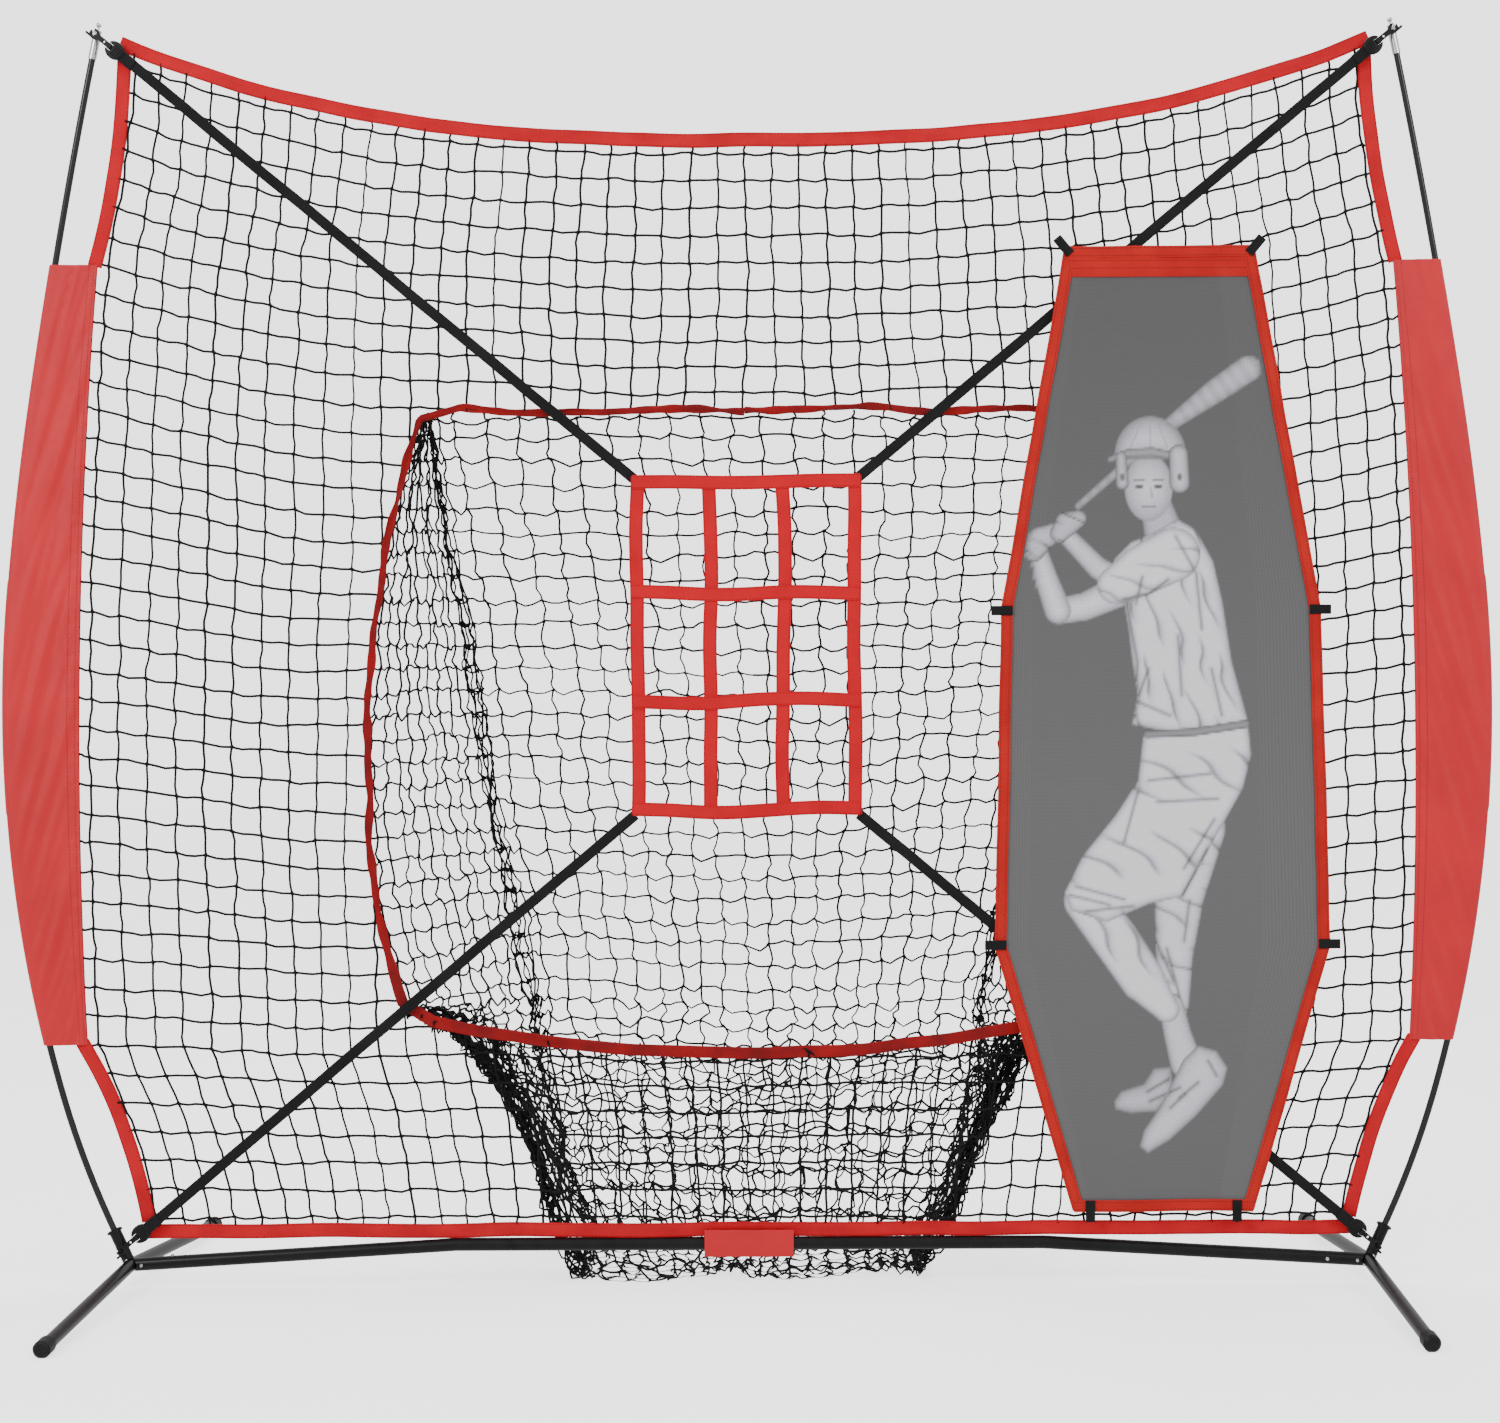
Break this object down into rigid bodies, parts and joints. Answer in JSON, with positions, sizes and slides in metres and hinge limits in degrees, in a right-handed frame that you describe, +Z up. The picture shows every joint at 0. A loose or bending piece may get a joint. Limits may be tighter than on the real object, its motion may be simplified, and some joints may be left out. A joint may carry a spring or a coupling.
{
  "type": "pitching target net",
  "caption": "Free-standing bow-frame ball net with a catching pocket, a hung strike-zone grid of webbing and a clip-on batter panel.",
  "frame": {"origin": "floor level, midway between the feet and under the middle of the net", "axes": "+X to the right as a thrower sees it, +Y from the thrower through the net to the pocket, +Z up"},
  "size_m": [2.509, 0.902, 2.1337],
  "materials": {
    "black_powder_coat": "gloss black powder coat on steel tube",
    "black_fibreglass": "smooth gloss black pultruded fibreglass",
    "bright_steel": "bright zinc-plated steel",
    "black_plastic": "moulded matt black plastic",
    "black_webbing": "woven black polypropylene webbing",
    "red_webbing": "woven bright red polyester webbing",
    "black_netting": "knotted black polyester twine",
    "dark_red_ribbon": "folded dark red ribbon",
    "red_binding": "folded red polyester binding",
    "red_oxford_cloth": "red coated oxford cloth with a soft sheen",
    "grey_mesh_banner": "grey fine mesh banner with a pale print",
    "orange_red_binding": "orange-red woven binding"
  },
  "bodies": {
    "stand_and_net": {"left_leg": "black_powder_coat", "right_leg": "black_powder_coat", "front_foot_caps": "black_plastic", "rear_foot_caps": "black_plastic", "left_bar_stub": "black_powder_coat", "right_bar_stub": "black_powder_coat", "stub_rivets": "bright_steel", "left_crossbar": "black_powder_coat", "middle_crossbar": "black_powder_coat", "right_crossbar": "black_powder_coat", "button_springs": "bright_steel", "left_pole_socket": "black_powder_coat", "right_pole_socket": "black_powder_coat", "left_lower_pole": "black_fibreglass", "left_middle_pole": "black_fibreglass", "left_upper_pole": "black_fibreglass", "right_lower_pole": "black_fibreglass", "right_middle_pole": "black_fibreglass", "right_upper_pole": "black_fibreglass", "left_pole_ferrules": "bright_steel", "right_pole_ferrules": "bright_steel", "left_pole_tip": "bright_steel", "right_pole_tip": "bright_steel", "top_left_buckle": "black_plastic", "top_right_buckle": "black_plastic", "bottom_left_buckle": "black_plastic", "bottom_right_buckle": "black_plastic", "top_left_strap": "black_webbing", "top_right_strap": "black_webbing", "bottom_left_strap": "black_webbing", "bottom_right_strap": "black_webbing", "strike_zone_uprights": "red_webbing", "strike_zone_rungs": "red_webbing", "front_net": "black_netting", "ball_pocket": "black_netting", "pocket_ribbon": "dark_red_ribbon", "top_trim": "red_binding", "bottom_trim": "red_binding", "left_upper_trim": "red_binding", "right_upper_trim": "red_binding", "left_lower_trim": "red_binding", "right_lower_trim": "red_binding", "left_sleeve": "red_oxford_cloth", "right_sleeve": "red_oxford_cloth", "centre_tab_wrap": "red_oxford_cloth"},
    "left_end_button": {"left_end_button": "bright_steel"},
    "right_end_button": {"right_end_button": "bright_steel"},
    "left_mid_button": {"left_mid_button": "bright_steel"},
    "right_mid_button": {"right_mid_button": "bright_steel"},
    "top_left_hook": {"top_left_hook": "black_plastic"},
    "top_right_hook": {"top_right_hook": "black_plastic"},
    "bottom_left_hook": {"bottom_left_hook": "black_plastic"},
    "bottom_right_hook": {"bottom_right_hook": "black_plastic"},
    "centre_tab_flap": {"centre_tab_flap": "red_oxford_cloth"},
    "batter_panel": {"batter_panel_mesh": "grey_mesh_banner", "batter_panel_trim": "orange_red_binding", "batter_panel_header": "orange_red_binding", "batter_panel_tabs": "black_webbing"}
  },
  "joints": [
    {"name": "left_end_button_press", "type": "slide", "parent": "stand_and_net", "child": "left_end_button", "axis": [0.0583, 0, -0.9983], "range_m": [0, 0.003], "stiffness_N_per_m": 600, "springref_m": -0.002},
    {"name": "right_end_button_press", "type": "slide", "parent": "stand_and_net", "child": "right_end_button", "axis": [0, 1, 0], "range_m": [0, 0.003], "stiffness_N_per_m": 600, "springref_m": -0.002},
    {"name": "left_mid_button_press", "type": "slide", "parent": "stand_and_net", "child": "left_mid_button", "axis": [0, -1, 0], "range_m": [0, 0.003], "stiffness_N_per_m": 600, "springref_m": -0.002},
    {"name": "right_mid_button_press", "type": "slide", "parent": "stand_and_net", "child": "right_mid_button", "axis": [0, -1, 0], "range_m": [0, 0.003], "stiffness_N_per_m": 600, "springref_m": -0.002},
    {"name": "top_left_hook_swing", "type": "hinge", "parent": "stand_and_net", "child": "top_left_hook", "pos_m": [-1.06513, -0.013, 2.09025], "axis": [0.6398, 0, 0.7685], "range_deg": [0, 60]},
    {"name": "top_right_hook_swing", "type": "hinge", "parent": "stand_and_net", "child": "top_right_hook", "pos_m": [1.06513, -0.013, 2.09025], "axis": [0.6398, 0, -0.7685], "range_deg": [0, 60]},
    {"name": "bottom_left_hook_swing", "type": "hinge", "parent": "stand_and_net", "child": "bottom_left_hook", "pos_m": [-1.02964, -0.013, 0.08906], "axis": [-0.6432, 0, 0.7657], "range_deg": [0, 60]},
    {"name": "bottom_right_hook_swing", "type": "hinge", "parent": "stand_and_net", "child": "bottom_right_hook", "pos_m": [1.02964, -0.013, 0.08906], "axis": [-0.6432, 0, -0.7657], "range_deg": [0, 60]},
    {"name": "centre_tab_flap_open", "type": "hinge", "parent": "stand_and_net", "child": "centre_tab_flap", "pos_m": [0, -0.01315, 0.052], "axis": [1, 0, 0], "range_deg": [0, 100]},
    {"name": "batter_panel_lift_off", "type": "slide", "parent": "stand_and_net", "child": "batter_panel", "axis": [0, -1, 0], "range_m": [0, 0.15]}
  ]
}
